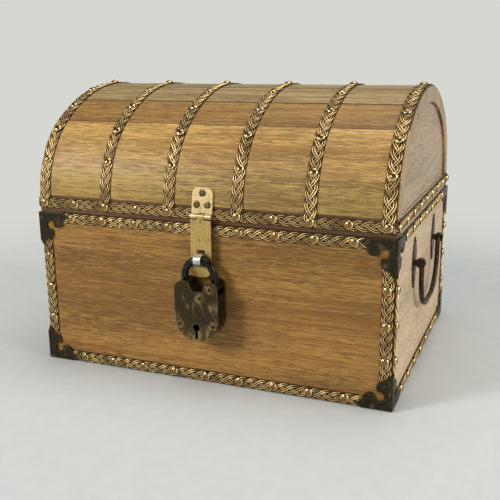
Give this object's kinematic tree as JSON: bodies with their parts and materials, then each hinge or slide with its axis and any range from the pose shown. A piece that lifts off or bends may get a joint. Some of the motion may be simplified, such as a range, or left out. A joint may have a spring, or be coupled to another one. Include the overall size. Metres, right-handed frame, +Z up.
{
  "type": "domed treasure chest box",
  "caption": "Domed wooden chest box with braided metal bands, round tacks, corner brackets, a hasp with a hanging padlock, side bail handles and a hinged lid.",
  "frame": {"origin": "middle of the underside that the chest stands on", "axes": "+X to the right along the chest, seen from the front, -Y towards the front with the padlock, +Z up"},
  "size_m": [0.4218, 0.3405, 0.3093],
  "materials": {
    "body_wood": "satin oiled board with a strong grain",
    "lid_wood": "satin oiled staves in mixed browns",
    "braided_metal": "antiqued embossed strip, dark in the hollows",
    "tack_metal": "antiqued domed heads",
    "blackened_iron": "blackened, worn at the edges",
    "hasp_brass": "brushed pale brass",
    "screw_steel": "dark countersunk heads",
    "staple_steel": "bright plated strip",
    "lock_bronze": "dark bronze, rubbed bright at its edges",
    "rivet_bronze": "dark rivet heads",
    "handle_iron": "blackened rod",
    "hinge_iron": "blackened sheet"
  },
  "bodies": {
    "chest": {"back_panel": "body_wood", "body_hinge_leaves": "hinge_iron", "body_hinge_screws": "screw_steel", "body_tacks": "tack_metal", "bottom_board": "body_wood", "bottom_strips": "braided_metal", "corner_strips": "braided_metal", "front_panel": "body_wood", "handle_eyes": "handle_iron", "hinge_pins": "hinge_iron", "left_end_panel": "body_wood", "lower_corner_brackets": "blackened_iron", "right_end_panel": "body_wood", "staple": "staple_steel", "top_strip_back": "braided_metal", "top_strip_front": "braided_metal", "top_strip_left": "braided_metal", "top_strip_right": "braided_metal", "upper_corner_brackets": "blackened_iron"},
    "lid": {"lid_band_1": "braided_metal", "lid_band_2": "braided_metal", "lid_band_3": "braided_metal", "lid_band_4": "braided_metal", "lid_band_5": "braided_metal", "lid_band_6": "braided_metal", "lid_end_left": "lid_wood", "lid_end_right": "lid_wood", "lid_hinge_leaves": "hinge_iron", "lid_hinge_screws": "screw_steel", "lid_rail_back": "lid_wood", "lid_rail_front": "lid_wood", "lid_stave_1": "lid_wood", "lid_stave_2": "lid_wood", "lid_stave_3": "lid_wood", "lid_stave_4": "lid_wood", "lid_stave_5": "lid_wood", "lid_stave_6": "lid_wood", "lid_stave_7": "lid_wood", "lid_stave_8": "lid_wood", "lid_stave_9": "lid_wood", "lid_tacks": "tack_metal", "rim_strip_back": "braided_metal", "rim_strip_front": "braided_metal", "rim_strip_left": "braided_metal", "rim_strip_right": "braided_metal", "hasp_leaf": "hasp_brass", "hasp_pin": "hasp_brass", "hasp_screws": "screw_steel"},
    "hasp": {"hasp_strap": "hasp_brass"},
    "shackle": {"padlock_shackle": "blackened_iron"},
    "padlock": {"padlock_back_plate": "lock_bronze", "padlock_bridge": "lock_bronze", "padlock_front_plate": "lock_bronze", "padlock_rivets": "rivet_bronze", "padlock_side_band": "blackened_iron"},
    "lock_bolt": {"padlock_bolt": "blackened_iron"},
    "handle_right": {"handle_right": "handle_iron"},
    "handle_left": {"handle_left": "handle_iron"}
  },
  "joints": [
    {"name": "lid_open", "type": "hinge", "parent": "chest", "child": "lid", "pos_m": [0, 0.1591, 0.17375], "axis": [-1, 0, 0], "range_deg": [0, 105]},
    {"name": "hasp_swing", "type": "hinge", "parent": "lid", "child": "hasp", "pos_m": [0.0005, -0.1591, 0.182], "axis": [-1, 0, 0], "range_deg": [0, 135]},
    {"name": "padlock_swing", "type": "hinge", "parent": "chest", "child": "shackle", "pos_m": [0.0005, -0.1671, 0.1383], "axis": [-1, 0, 0], "range_deg": [0, 60]},
    {"name": "padlock_open", "type": "hinge", "parent": "shackle", "child": "padlock", "pos_m": [0.01685, -0.1671, 0.1115], "axis": [0, -1, 0], "range_deg": [0, 90]},
    {"name": "lock_bolt_slide", "type": "slide", "parent": "padlock", "child": "lock_bolt", "axis": [1, 0, 0], "range_m": [0, 0.0024]},
    {"name": "handle_right_swing", "type": "hinge", "parent": "chest", "child": "handle_right", "pos_m": [0.2057, 0, 0.127], "axis": [0, -1, 0], "range_deg": [0, 90]},
    {"name": "handle_left_swing", "type": "hinge", "parent": "chest", "child": "handle_left", "pos_m": [-0.2057, 0, 0.127], "axis": [0, 1, 0], "range_deg": [0, 90]}
  ]
}
